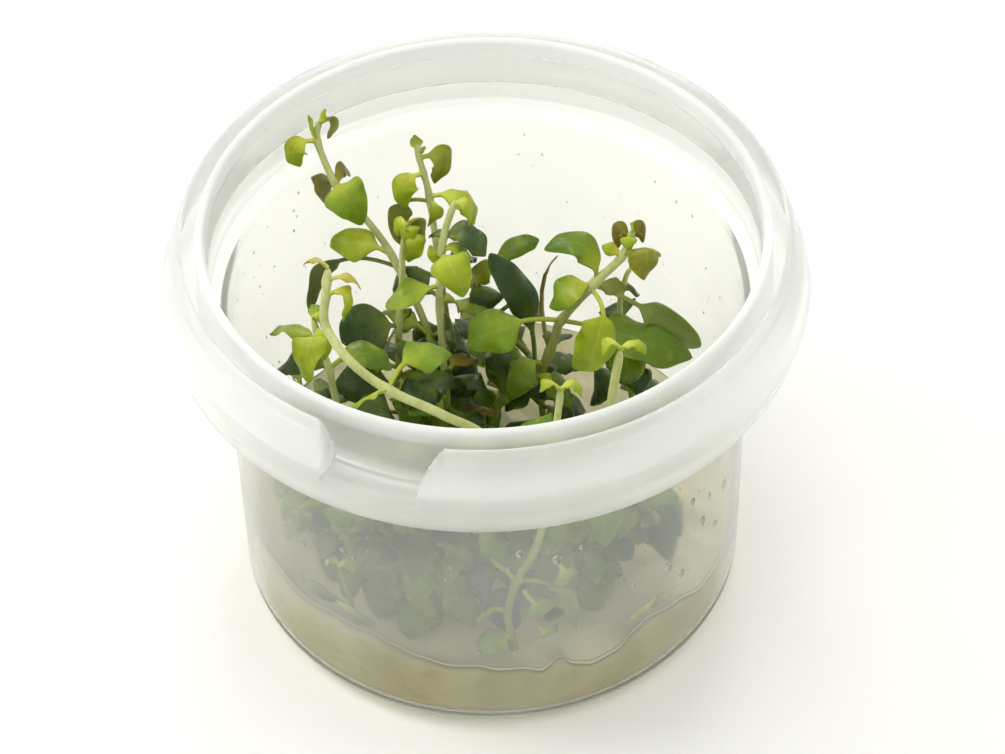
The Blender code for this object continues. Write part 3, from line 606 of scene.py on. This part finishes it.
# each leaf: name, place along its stem, where its middle and tip lie from there, width, how far the sides rise,
# roll about the midrib in degrees, share that is stalk, finish
leaves = {
    "left_shoot": [
        ("curled", 6.9, (2.6, 0, 0.8), (1.5, -0.8, -2.6), 3, 0.1, -45, 0.15, "olive"),
        ("hanging", 6.0, (-3.4, -2.2, 1), (-3, -3, -3.2), 4.2, 0, -35, 0.2, "young"),
        ("front", 5.0, (1.9, -3.6, 1.2), (4.2, -5, -4.6), 6.8, -0.15, 0, 0.05, "fresh"),
        ("brown", 5.1, (-2, 2.6, -2), (-1.1, 1.4, -6.2), 3.8, -0.1, 45, 0.15, "brown"),
        ("light", 3.1, (-5.1, 0.5, 2.6), (-10, 0.5, 1.8), 5.6, 0.15, -35, 0.2, "young"),
        ("strap", 2.9, (-9.8, 2, -0.4), (-14.8, 0, -8.8), 3.8, -0.2, 45, 0.45, "dark"),
    ],
    "back_shoot": [
        ("right", 5.0, (3.3, 0.6, -0.8), (2.6, 0, -6), 4.2, -0.2, 60, 0.15, "olive"),
        ("left", 4.0, (-2.8, -1.9, -0.3), (-3.2, -3, -5), 4, 0.1, -40, 0.2, "young"),
        ("dark", 3.0, (-4.8, 1, -1.8), (-4.8, 1, -10), 3.7, 0.1, 65, 0.35, "olive"),
        ("arching", 3.1, (5.4, -1, 0.3), (7.6, -2, -4.6), 4.4, 0.2, 10, 0.15, "young"),
    ],
    "middle_shoot": [
        ("blue", 5.0, (3.6, 0, 0.6), (7, -2, -1.8), 5.6, -0.15, 30, 0.1, "dark"),
        ("upper", 4.7, (2.9, 0, 1.2), (5.4, -0.6, -1.6), 4, 0.1, 0, 0.1, "fresh"),
        ("bright", 4.6, (1.9, -4, 1.8), (3.6, -7, -2.6), 6.4, -0.1, 0, 0.1, "young"),
        ("cupped", 3.9, (-4.5, -2, 0.2), (-8.8, -3, -1.2), 4.6, -0.4, 15, 0.15, "fresh"),
        ("slim", 3.0, (1.8, 0, -2.8), (2.4, -1, -8.4), 3, 0.1, 0, 0.1, "dark"),
        ("low", 2.0, (-2.8, -3.4, 3.4), (-6, -6.4, 3), 5.2, 0.1, 0, 0.15, "fresh"),
    ],
    "yellow_shoot": [
        ("round", 4.7, (1.2, -2, -0.9), (0.6, -2.2, -4.8), 3.6, -0.3, 0, 0.1, "young"),
        ("broad", 2.3, (-4.4, -1.4, 0.8), (-9.4, -2.4, -1.4), 8.2, -0.1, -30, 0.15, "dark"),
        ("under", 1.6, (-4.6, -3, 5), (-10, -5, 7), 7.4, 0.1, -10, 0.15, "dark"),
    ],
    "short_shoot": [
        ("narrow", 4.0, (5, 2, 5.8), (10.3, 2, 8.9), 3.6, 0.1, 60, 0.35, "green"),
        ("fallen", 4.1, (2.2, -3.6, 1.6), (2.4, -6.2, -1), 6, -0.1, 0, 0.1, "dark"),
    ],
    "right_shoot": [
        ("cupped", 7.0, (3.3, -3, 3.8), (3.6, -6, 0), 6.2, 0.3, 0, 0.1, "olive"),
        ("folded", 6.1, (-1.8, 1.6, 6), (-8.4, 3, 4.6), 4.8, 0, -30, 0.1, "green"),
        ("side", 6.0, (-4, -1, -0.2), (-7.5, -1.2, -3.4), 5.4, 0.1, 0, 0.1, "fresh"),
        ("hanging", 5.9, (1.8, -6.4, -1.8), (-2.6, -11.8, -6.8), 7.4, -0.1, 25, 0.4, "young"),
        ("far", 6.0, (8.2, 0.4, -6), (17, -1.6, -12.6), 5.2, 0.2, -20, 0.45, "green"),
        ("long", 5.0, (-7.6, -3, 2.6), (-15.3, -5, -0.6), 7.4, 0.1, -25, 0.42, "fresh"),
        ("broad", 5.0, (8.6, -3.4, 0.6), (21, -5.4, -2.8), 8.2, -0.1, -30, 0.35, "green"),
        ("tall", 3.0, (-0.8, 3.4, 13), (-6.4, 8, 21.4), 5.6, 0.2, -25, 0.35, "dark"),
        ("back", 2.2, (-1.4, 1.6, 5.4), (0, 5, 9), 7, 0.1, 0, 0.1, "dark"),
        ("low", 1.8, (-2, -2, 3.4), (-3.8, -4.6, 3.6), 4.4, 0.1, 0, 0.1, "brown"),
    ],
    "leaning_shoot": [
        ("drooping", 8.0, (3.3, -1, 1.3), (2.9, -2, -3.8), 3, -0.1, 0, 0.15, "young"),
        ("hidden", 5.0, (-2.8, -2.2, 1), (-6, -4.2, 0.6), 2.6, 0.1, 60, 0.3, "young"),
        ("right", 5.0, (3.8, 4, 3), (10, 7.6, 0.2), 5.6, 0.1, 35, 0.35, "fresh"),
        ("wall", 3.0, (-2.6, -6, 2), (-6, -10.6, -4), 6, -0.1, 0, 0.15, "green"),
        ("left_low", 2.0, (-5, -4.4, 2.6), (-11, -7.6, -2), 7, -0.1, 0, 0.15, "dark"),
        ("right_low", 2.0, (4, -2.8, 2.6), (8.6, -4.6, -1), 5.6, -0.1, 0, 0.15, "dark"),
    ],
    "pale_shoot": [
        ("front", 1.5, (0.6, -3.4, 1.8), (0.8, -7, -1.4), 3.6, -0.1, 0, 0.2, "green"),
        ("right", 1.8, (5, 2, 1.4), (10.4, 3.4, -5), 7, -0.1, 0, 0.15, "dark"),
    ],
    "front_shoot": [
        ("side", 3.0, (6, 0.3, -2), (9.6, -1.5, -9.6), 5, -0.1, -50, 0.4, "green"),
        ("bottom", 1.2, (-2.6, -1.5, 1.4), (-5.6, -2.6, -0.6), 4.8, 0.1, 0, 0.15, "fresh"),
    ],
    "low_shoot": [
        ("yellow", 4.3, (-1.6, -3.4, 2.2), (-1.8, -7.4, -2.4), 5.6, -0.1, 0, 0.1, "young"),
        ("left", 4.1, (-3.9, 2.4, 1.6), (-8.2, 3.6, -0.4), 4, 0.1, 0, 0.15, "fresh"),
        ("dark", 3.0, (-3.8, 2, 0.2), (-9, 3, -2.6), 5, 0, -35, 0.1, "dark"),
        ("right", 3.0, (4.8, 2.6, 0.8), (10, 3, -3), 5, 0, 40, 0.2, "green"),
        ("wall", 2.0, (-2.4, -6, 2), (-4.4, -14, -4), 6, -0.1, 0, 0.15, "dark"),
    ],
}

# small leaves that grew on with the stem, in the same words
grownOn = {
    "left_shoot": [
        ("spike", 6.0, (-0.9, 0.2, 2.6), (-1.3, 0.6, 5), 1.4, 0.2, 0, 0.3, "young"),
        ("crest", 6.9, (0.5, 0.2, 1.4), (1, 0.4, 2.6), 1.7, 0.2, 0, 0.1, "young"),
        ("back", 5.0, (1, 2, 1.6), (2.4, 4, -1.6), 2.4, 0, 60, 0.1, "brown"),
    ],
    "back_shoot": [
        ("small", 3.0, (1, -2, -0.2), (-0.3, -3, -3), 2.6, -0.1, 0, 0.1, "young"),
        ("bud", 5.6, (-0.3, 0.3, 1.2), (-0.6, 0.5, 2.6), 1.8, 0.3, 0, 0.1, "young"),
        ("knob", 5.3, (0.7, 0, 0.5), (1.3, 0, 1.2), 0.8, 0.3, 0, 0.5, "olive"),
    ],
    "middle_shoot": [
        ("left", 5.0, (-1.2, 1, 0.4), (-2.4, 2, -1.4), 2, 0, 0, 0.1, "dark"),
        ("top", 5.9, (2.2, 0.2, -0.6), (2.5, -0.4, -5), 2.4, 0.1, 45, 0.1, "young"),
        ("narrow", 4.4, (-1, -0.8, 2.6), (-1.5, 0, 4.6), 1.6, 0.1, 0, 0.1, "young"),
        ("small", 3.1, (2, 1, 0.6), (3.2, 1.4, -3), 2.4, 0, 0, 0.2, "olive"),
    ],
    "yellow_shoot": [
        ("brown", 5.0, (1.7, 0.6, 0.5), (2.4, 0.4, -4.4), 2.8, 0.1, -50, 0.1, "olive"),
        ("left", 5.0, (-1.1, -0.6, 1), (-1.8, -1.4, -1.2), 3, 0.1, -20, 0.05, "young"),
        ("face", 4.9, (0.4, -1.2, 0.4), (0.6, -2.2, -2), 3, -0.2, 0, 0.05, "young"),
    ],
    "short_shoot": [
        ("round", 4.2, (1.3, -1, 3.2), (3.2, -1, 5.8), 3.4, 0.1, 0, 0.1, "olive"),
    ],
    "right_shoot": [
        ("top_left", 7.5, (-1.3, 0.4, 2.4), (-1.8, -0.4, -0.9), 2.6, 0.1, -60, 0.1, "brown"),
        ("top_right", 7.6, (1.5, 0.4, 2.3), (2.2, 0, -0.8), 2.5, 0.1, 60, 0.1, "brown"),
        ("inner", 7.0, (-1.8, 0.4, 1.4), (-3.3, 0.6, 1.7), 2.2, 0.1, -30, 0.1, "young"),
        ("bud", 7.9, (0.2, 0, 1), (0.3, 0, 2), 1.8, 0.3, 0, 0.1, "young"),
        ("yellow", 7.6, (-0.3, -1.6, 2), (-0.6, -3.2, 1), 2.4, 0.1, 0, 0.1, "young"),
        ("small", 6.1, (2.4, 0.4, -1.4), (4.8, 0.6, -1.8), 2.8, 0.1, 60, 0.15, "olive"),
        ("curled", 3.1, (1.3, -2, 3), (2.2, -4, 1.6), 1.8, 0.1, 0, 0.1, "young"),
        ("thread", 3.7, (-1.1, 3, 10), (1.4, 4, 17.4), 1.5, 0.1, 0, 0.7, "brown"),
    ],
    "thin_shoot": [
        ("left", 2.5, (-1.1, 1, 0.6), (-2.2, 2, 0.6), 3, 0.1, 0, 0.1, "dark"),
        ("right", 2.5, (1.4, 1, 0.9), (2.8, 2, -2.4), 3.4, 0.1, 0, 0.1, "dark"),
    ],
    "leaning_shoot": [
        ("tip_left", 9.0, (-2, 1, 1), (-4, 1, 0), 2.4, 0, 0, 0.1, "red"),
        ("tip_right", 8.5, (3, 0, 1.2), (5.4, -1, -0.6), 2.4, 0, 0, 0.1, "red"),
    ],
    "pale_shoot": [
        ("tip_left", 4.0, (-2, 0, 1.8), (-3.3, -1, -0.9), 2.6, 0, 0, 0.1, "young"),
        ("tip_right", 4.0, (2.2, 0, 1.4), (4.1, -1, 0), 3, 0, 0, 0.1, "young"),
    ],
    "front_shoot": [
        ("tip_left", 5.9, (-1.8, 0, 2), (-3.4, -1, 1), 2.4, 0, 0, 0.1, "young"),
        ("tip_right", 5.9, (1.9, 0.2, 1.6), (3.5, -0.8, -0.6), 2.6, 0, 0, 0.1, "young"),
        ("left", 2.0, (-2.2, 0.2, 0.9), (-5, -0.6, -0.8), 1.6, 0, 0, 0.5, "young"),
        ("upper_left", 3.0, (-1.6, 0.5, 2.2), (-3.7, 1, 4.4), 1.5, 0, 0, 0.5, "young"),
    ],
    "low_shoot": [
        ("top", 5.0, (1.1, -0.5, 1), (1.8, -1, -1.6), 2, 0, 0, 0.1, "young"),
        ("upright", 4.9, (0.2, 1, 1.6), (0.8, 2, 1.8), 2.6, 0.1, 0, 0.1, "fresh"),
        ("inner", 4.6, (1, -2.6, 0.8), (1.2, -4.6, -2.4), 3, 0.1, 20, 0.1, "young"),
    ],
    "seedling": [
        ("right", 3.0, (1.6, -0.5, 1.1), (3.1, -1, -0.5), 2.5, 0, 0, 0.1, "young"),
        ("left", 3.0, (-1.3, 0.3, 1.1), (-2.7, 0.5, -0.6), 2.2, 0, 0, 0.1, "young"),
    ],
}


def placeOnStem(points, place):
    path = smoothPath(points, 10)
    return path[min(round(place * 10), len(path) - 1)]


def camel(*words):  # left_shoot, front -> leftShootFront
    parts = "_".join(words).split("_")
    return parts[0] + "".join(part.capitalize() for part in parts[1:])


def stemRings(thickness, points, nodes, steps=10, sides=14):  # a tapering tube, swollen a little where leaves grow
    path = smoothPath(points, steps)
    places = np.arange(len(path)) / steps
    share = places / places[-1]
    knots = np.exp(-((places[:, None] - np.array(nodes)[None, :]) / 0.14) ** 2).max(axis=1)
    radius = thickness / 2 * (1.06 - 0.16 * share) * (1 + 0.22 * knots)
    radius = radius * np.sqrt(np.clip((places[-1] - places) / 0.25, 0.04, 1))
    return tube(path, radius, sides)


def makeShoot(shoot):
    thickness, points = shoots[shoot]
    rows, grown = leaves.get(shoot, []), grownOn.get(shoot, [])
    stem = Joined()
    stem.add(*stemRings(thickness, points, [row[1] for row in rows + grown] + [1.0]))
    stem.piece(camel(shoot, "stem"), stemFinish, "stem", shoot + "_stem")
    for number, (name, place, middle, tip, width, cup, roll, stalk, finish) in enumerate(rows + grown):
        own = number < len(rows)
        size = {"rows": 40, "half": 11} if own else {"rows": 26, "half": 8}
        leaf = Joined()
        leaf.add(*leafRings(placeOnStem(points, place), middle, tip, width, cup, roll, stalk, number * 0.7, **size))
        node = shoot + "_" + name + "_leaf"
        slot = "young_leaf" if node in youngNodes else leafSlots[finish]
        leaf.piece(camel(shoot, name, "leaf"), leafMaterials[finish], slot, *([node] if own else []))


for shoot in shoots:
    makeShoot(shoot)
print("shoots ready")


# undergrowth: pairs of older leaves low on the stems, each pair turned a quarter from the one below

undergrowth = {
    # shoot: lowest and highest leaf, in millimetres above the base
    "span": {"left_shoot": (16, 38), "back_shoot": (16, 42), "middle_shoot": (16, 33), "yellow_shoot": (16, 38),
             "short_shoot": (16, 35), "right_shoot": (16, 33), "thin_shoot": (16, 39), "leaning_shoot": (18, 40),
             "pale_shoot": (17, 40), "low_shoot": (17, 42)},
    # low side shoots: foot, tip, thickness
    "sprigs": (((-26, -13, 11), (-29, -15, 42), 1.0), ((-20, -20, 11), (-23, -22, 40), 1.0),
               ((-14, -19, 11), (-16, -25, 45), 1.0), ((-9, -25, 11), (-10, -26, 43), 1.1),
               ((-2, -24, 11), (-3, -27, 36), 0.9), ((4, -19, 11), (2, -24, 44), 0.9),
               ((10, -22, 11), (9, -26, 46), 1.1), ((19, -18, 11), (21, -23, 42), 1.0),
               ((24, -10, 11), (28, -12, 40), 1.0), ((-27, 4, 11), (-31, 4, 36), 0.9)),
    "step": 4.2, "length": (7.0, 10.5), "width": 0.66, "stalk": 0.22, "rise": (0.5, 3.0), "drop": (-4.0, 1.0),
    # shares of dark, green, olive and brown leaves at the back and in front of a line across the cup
    "finishes": ("dark", "green", "olive", "brown"), "frontLine": -12,
    "back": (0.58, 0.32, 0.06, 0.04), "front": (0.2, 0.72, 0.06, 0.02),
}


def makeUndergrowth():
    names = undergrowth["finishes"]
    heaps, stems = {name: Joined() for name in names}, Joined()
    grown = [(smoothPath(shoots[shoot][1], 10), *span) for shoot, span in undergrowth["span"].items()]
    for foot, tip, thickness in undergrowth["sprigs"]:
        middle = (np.array(foot) + tip) / 2 + chance.uniform(-1.5, 1.5, 3) * np.array([1, 1, 0])
        points = [foot, middle, tip]
        stems.add(*stemRings(thickness, points, [1.0]))
        grown.append((smoothPath(points, 20), 16, tip[2]))
    stems.piece("sideShootStems", stemFinish, "stem")
    for number, (path, low, high) in enumerate(grown):
        first = chance.uniform(0, math.pi)
        for node, height in enumerate(np.arange(low, high, undergrowth["step"])):
            start = path[np.argmin(np.abs(path[:, 2] - height - chance.uniform(-1, 1)))]
            for pair in (0, math.pi):
                turn = first + pair + node * math.pi / 2 + chance.uniform(-0.4, 0.4)
                length = chance.uniform(*undergrowth["length"])
                out = np.array([math.cos(turn), math.sin(turn), 0])
                rise, drop = chance.uniform(*undergrowth["rise"]), chance.uniform(*undergrowth["drop"])
                middle = out * length * 0.52 + np.array([0, 0, rise])
                tip = out * length * 0.95 + np.array([0, 0, drop])
                shares = undergrowth["front" if start[1] < undergrowth["frontLine"] else "back"]
                finish = names[np.searchsorted(np.cumsum(shares), chance.uniform(0, 0.999))]
                width = length * undergrowth["width"] * chance.uniform(0.85, 1.15)
                cup, roll = chance.uniform(-0.15, 0.25), chance.uniform(-25, 25)
                heaps[finish].add(*leafRings(start, middle, tip, width, cup, roll, undergrowth["stalk"],
                                             node + number, rows=10, half=5))
    for name, heap in heaps.items():
        if heap.points:
            heap.piece("undergrowth" + name.capitalize(), leafMaterials[name], leafSlots[name])


makeUndergrowth()
print("undergrowth ready")


# small leaves by the near wall that only the clear body shows

wallLeaves = [  # foot and tip as angle from the front and height, distance from the axis, bulge, width, stalk, finish
    (-52.5, 18.3, -37.5, 19.9, 38.3, 0.4, 3.0, 0.05, "dark"),
    (-40.0, 19.6, -28.5, 17.9, 38.2, 0.3, 2.4, 0.1, "green"),
    (-50.5, 20.2, -43.0, 19.0, 37.9, 0.3, 2.0, 0.1, "olive"),
    (47.8, 16.2, 38.0, 16.9, 38.3, 0.3, 2.2, 0.1, "olive"),
    (42.0, 17.4, 32.5, 15.2, 38.2, 0.3, 1.9, 0.1, "young"),
    (7.6, 28.6, 14.5, 22.2, 36.0, 1.4, 5.2, 0.3, "green"),
    (11.0, 20.0, 15.6, 17.4, 36.2, 0.8, 3.2, 0.15, "green"),
    (16.5, 33.2, 19.0, 27.6, 36.0, 0.8, 3.6, 0.15, "green"),
]


def onWall(angle, height, distance):
    turn = math.radians(angle)
    return np.array([distance * math.sin(turn), -distance * math.cos(turn), height])


def makeWallLeaves():
    heaps = {}
    for number, (first, low, last, high, distance, bulge, width, stalk, finish) in enumerate(wallLeaves):
        start = onWall(first, low, distance)
        middle = onWall((first + last) / 2, (low + high) / 2, distance + bulge) - start
        heap = heaps.setdefault(finish, Joined())
        heap.add(*leafRings(start, middle, onWall(last, high, distance) - start, width, 0.1, 0, stalk, number, 24, 8))
    for name, heap in heaps.items():
        heap.piece("wallLeaves" + name.capitalize(), leafMaterials[name], leafSlots[name])


makeWallLeaves()
print("wall leaves ready")


# roots: thin pale threads from each stem's foot, out and down through the gel

rootShape = {"each": 7, "radius": 0.17, "steps": 12, "sides": 5, "reach": (5.0, 13.0), "fall": (-4.5, 3.0),
             "wander": 1.3, "lowest": 2.2, "widest": 38.0}


def makeRoots():
    material, tree, shader = newMaterial("root", **{"Subsurface Weight": 0.2, "Subsurface Scale": 0.0005})
    fibre = noiseOf(tree, objectPlace(tree), 700.0)
    tree.links.new(mixed(tree, fibre, (0.34, 0.31, 0.14), (0.58, 0.54, 0.34)), shader.inputs["Base Color"])
    tree.links.new(ramp(tree, fibre, 0.3, 0.7, 0.35, 0.55), shader.inputs["Roughness"])
    heap = Joined()
    share = np.linspace(0, 1, rootShape["steps"])[:, None]
    for shoot, (thickness, points) in shoots.items():
        foot = np.array(points[0], float)
        for turn in chance.uniform(0, 2 * math.pi, rootShape["each"]):
            reach = chance.uniform(*rootShape["reach"])
            away = np.array([math.cos(turn) * reach, math.sin(turn) * reach, chance.uniform(*rootShape["fall"])])
            wander = chance.normal(0, 1, (3, 3)) * rootShape["wander"]
            bends = sum(wander[k] * np.sin(math.pi * (k + 1) * share) / (k + 1) for k in range(3))
            path = foot + np.array([0, 0, 3.0]) * (1 - share) + away * share + bends
            path[:, 2] = np.clip(path[:, 2], rootShape["lowest"], gelHeight(path[:, 0], path[:, 1]) - 0.1)
            radius = np.maximum(np.hypot(path[:, 0], path[:, 1]), 1e-6)
            path[:, :2] *= np.minimum(1, rootShape["widest"] / radius)[:, None]
            heap.add(*tube(path, rootShape["radius"] * (1 - 0.7 * share[:, 0]), rootShape["sides"]))
    heap.piece("roots", material, "root")


makeRoots()
print("roots ready")


# condensation: clear drops that hang on the inside of the wall

drops = {
    # angle from the front, height, radius, how much longer than wide
    "near": ((6.2, 41.2, 0.75, 1.1), (14.3, 38.6, 0.8, 1.1), (12.6, 40.6, 0.5, 1.0), (3.7, 38.1, 0.55, 1.0),
             (-9.0, 38.4, 0.6, 0.9), (-10.1, 35.4, 0.5, 0.9), (-32.0, 34.9, 0.55, 1.1), (-34.9, 35.6, 0.5, 1.2),
             (-46.7, 31.1, 0.5, 1.0), (-47.9, 38.2, 0.5, 1.2), (43.4, 24.8, 0.75, 1.2), (47.9, 21.3, 0.7, 1.3),
             (30.3, 28.6, 0.35, 1.3), (33.0, 26.4, 0.35, 1.2), (36.0, 29.5, 0.3, 1.3), (20.0, 40.0, 0.5, 1.0),
             (51.1, 36.0, 0.5, 1.8), (55.5, 28.8, 0.5, 2.4), (58.0, 33.0, 0.4, 2.2), (61.7, 24.1, 0.55, 1.6),
             (66.0, 30.0, 0.6, 2.6), (70.0, 25.0, 0.45, 2.0), (-3.3, 18.4, 0.4, 1.0), (-28.0, 38.0, 0.35, 1.0)),
    "fine": 190, "fineHeight": (19.0, 36.0), "fineSize": (0.1, 0.24), "fineStretch": (0.9, 1.6),
    "wall": 39.2, "slope": 0.0181, "flat": 0.42,
}


# a flattened bead whose flat back lies on the wall
def dropRings(angle, height, size, stretch, rows=9, sides=14):
    wallRadius = drops["wall"] + drops["slope"] * (height - 5.0) - 0.03
    up = np.linspace(-math.pi / 2, math.pi / 2, rows)[:, None]
    around = np.linspace(0, 2 * math.pi, sides, endpoint=False)[None, :]
    outward = np.cos(up) * np.cos(around)
    depth = np.where(outward > 0, 0.04, drops["flat"] * 2) * outward * size
    sideways = np.cos(up) * np.sin(around) * size
    z = height + np.sin(up) * size * stretch - 0.12 * size * (outward < 0)
    radius = wallRadius + depth
    turn = math.radians(angle) + sideways / wallRadius
    rings = np.stack([radius * np.sin(turn), -radius * np.cos(turn), np.broadcast_to(z, radius.shape)], axis=-1)
    uv = np.stack(np.broadcast_arrays(up, around), axis=-1)
    return rings, uv


def makeDrops():
    material, tree, shader = newMaterial("water", **{"IOR": 1.33, "Transmission Weight": 1.0})
    film = noiseOf(tree, objectPlace(tree), 300.0)
    tree.links.new(ramp(tree, film, 0.3, 0.7, 0.0, 0.06), shader.inputs["Roughness"])
    # UV: x from the lower to the upper end, y round the bead; a painted highlight: the lower right edge is made less
    # clear, so it shows as a white crescent
    parts = addNode(tree, "ShaderNodeSeparateXYZ", i0=addNode(tree, "ShaderNodeTexCoord").outputs["UV"]).outputs
    lowerRight = mathOf(tree, "COSINE", mathOf(tree, "SUBTRACT", parts[1], 4.2))
    paintedCrescent = mathOf(tree, "ADD", lowerRight, mathOf(tree, "MULTIPLY", parts[0], -0.6))
    # painted highlight: less transmission where the crescent lies
    tree.links.new(ramp(tree, paintedCrescent, 0.7, 1.1, 1.0, 0.1), shader.inputs["Transmission Weight"])
    heap = Joined()
    for angle, height, size, stretch in drops["near"]:
        heap.add(*dropRings(angle, height, size, stretch))
    lowest, band = drops["fineHeight"]
    limits = ((-180, 180), (0, 1), drops["fineSize"], drops["fineStretch"])
    draws = [chance.uniform(low, high, drops["fine"]) for low, high in limits]
    for angle, lift, size, stretch in zip(*draws):
        heap.add(*dropRings(angle, lowest + band * lift, size, stretch, rows=6, sides=8))
    heap.piece("condensation", material, "water")


makeDrops()
print("drops ready")
